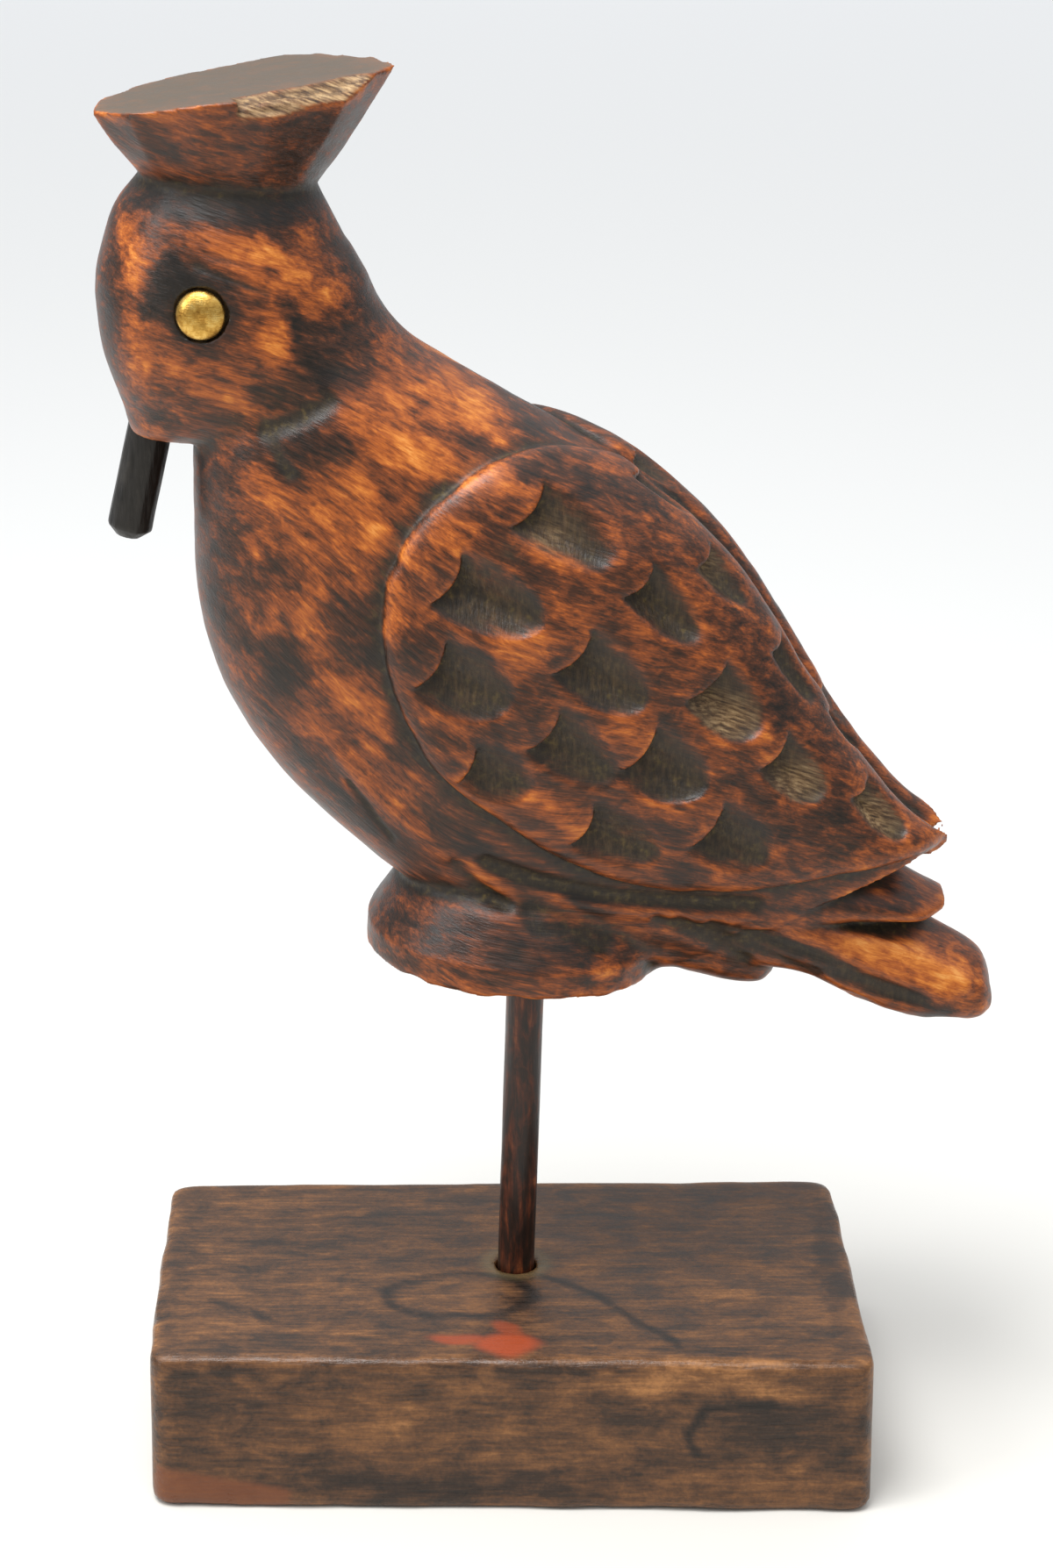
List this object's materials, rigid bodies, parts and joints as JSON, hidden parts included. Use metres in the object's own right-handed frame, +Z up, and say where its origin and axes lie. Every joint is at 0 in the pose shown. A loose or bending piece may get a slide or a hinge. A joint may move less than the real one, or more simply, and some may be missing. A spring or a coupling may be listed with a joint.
{
  "type": "carved wooden bird",
  "caption": "Folk-carved standing bird with a flared flat cap, gouged wings and layered tail, held on a slim rod above a plain hewn block.",
  "frame": {"origin": "on the block's flat underside, straight below the foot of the rod", "axes": "+X from the bird's breast towards its tail, +Y towards the bird's right side, +Z up"},
  "size_m": [0.143, 0.0699, 0.2301],
  "materials": {
    "carved_wood": "worn semi-gloss brown stain",
    "blackened_wood": "near-black, satin",
    "tack_brass": "dulled polish",
    "rod_wood": "dark red-brown stain, satin",
    "block_wood": "dull dark brown stain, dusty"
  },
  "bodies": {
    "root": {"carved_bird": "carved_wood", "beak_peg": "blackened_wood", "left_eye_tack": "tack_brass", "right_eye_tack": "tack_brass", "mounting_rod": "rod_wood", "plinth_block": "block_wood"}
  },
  "joints": []
}
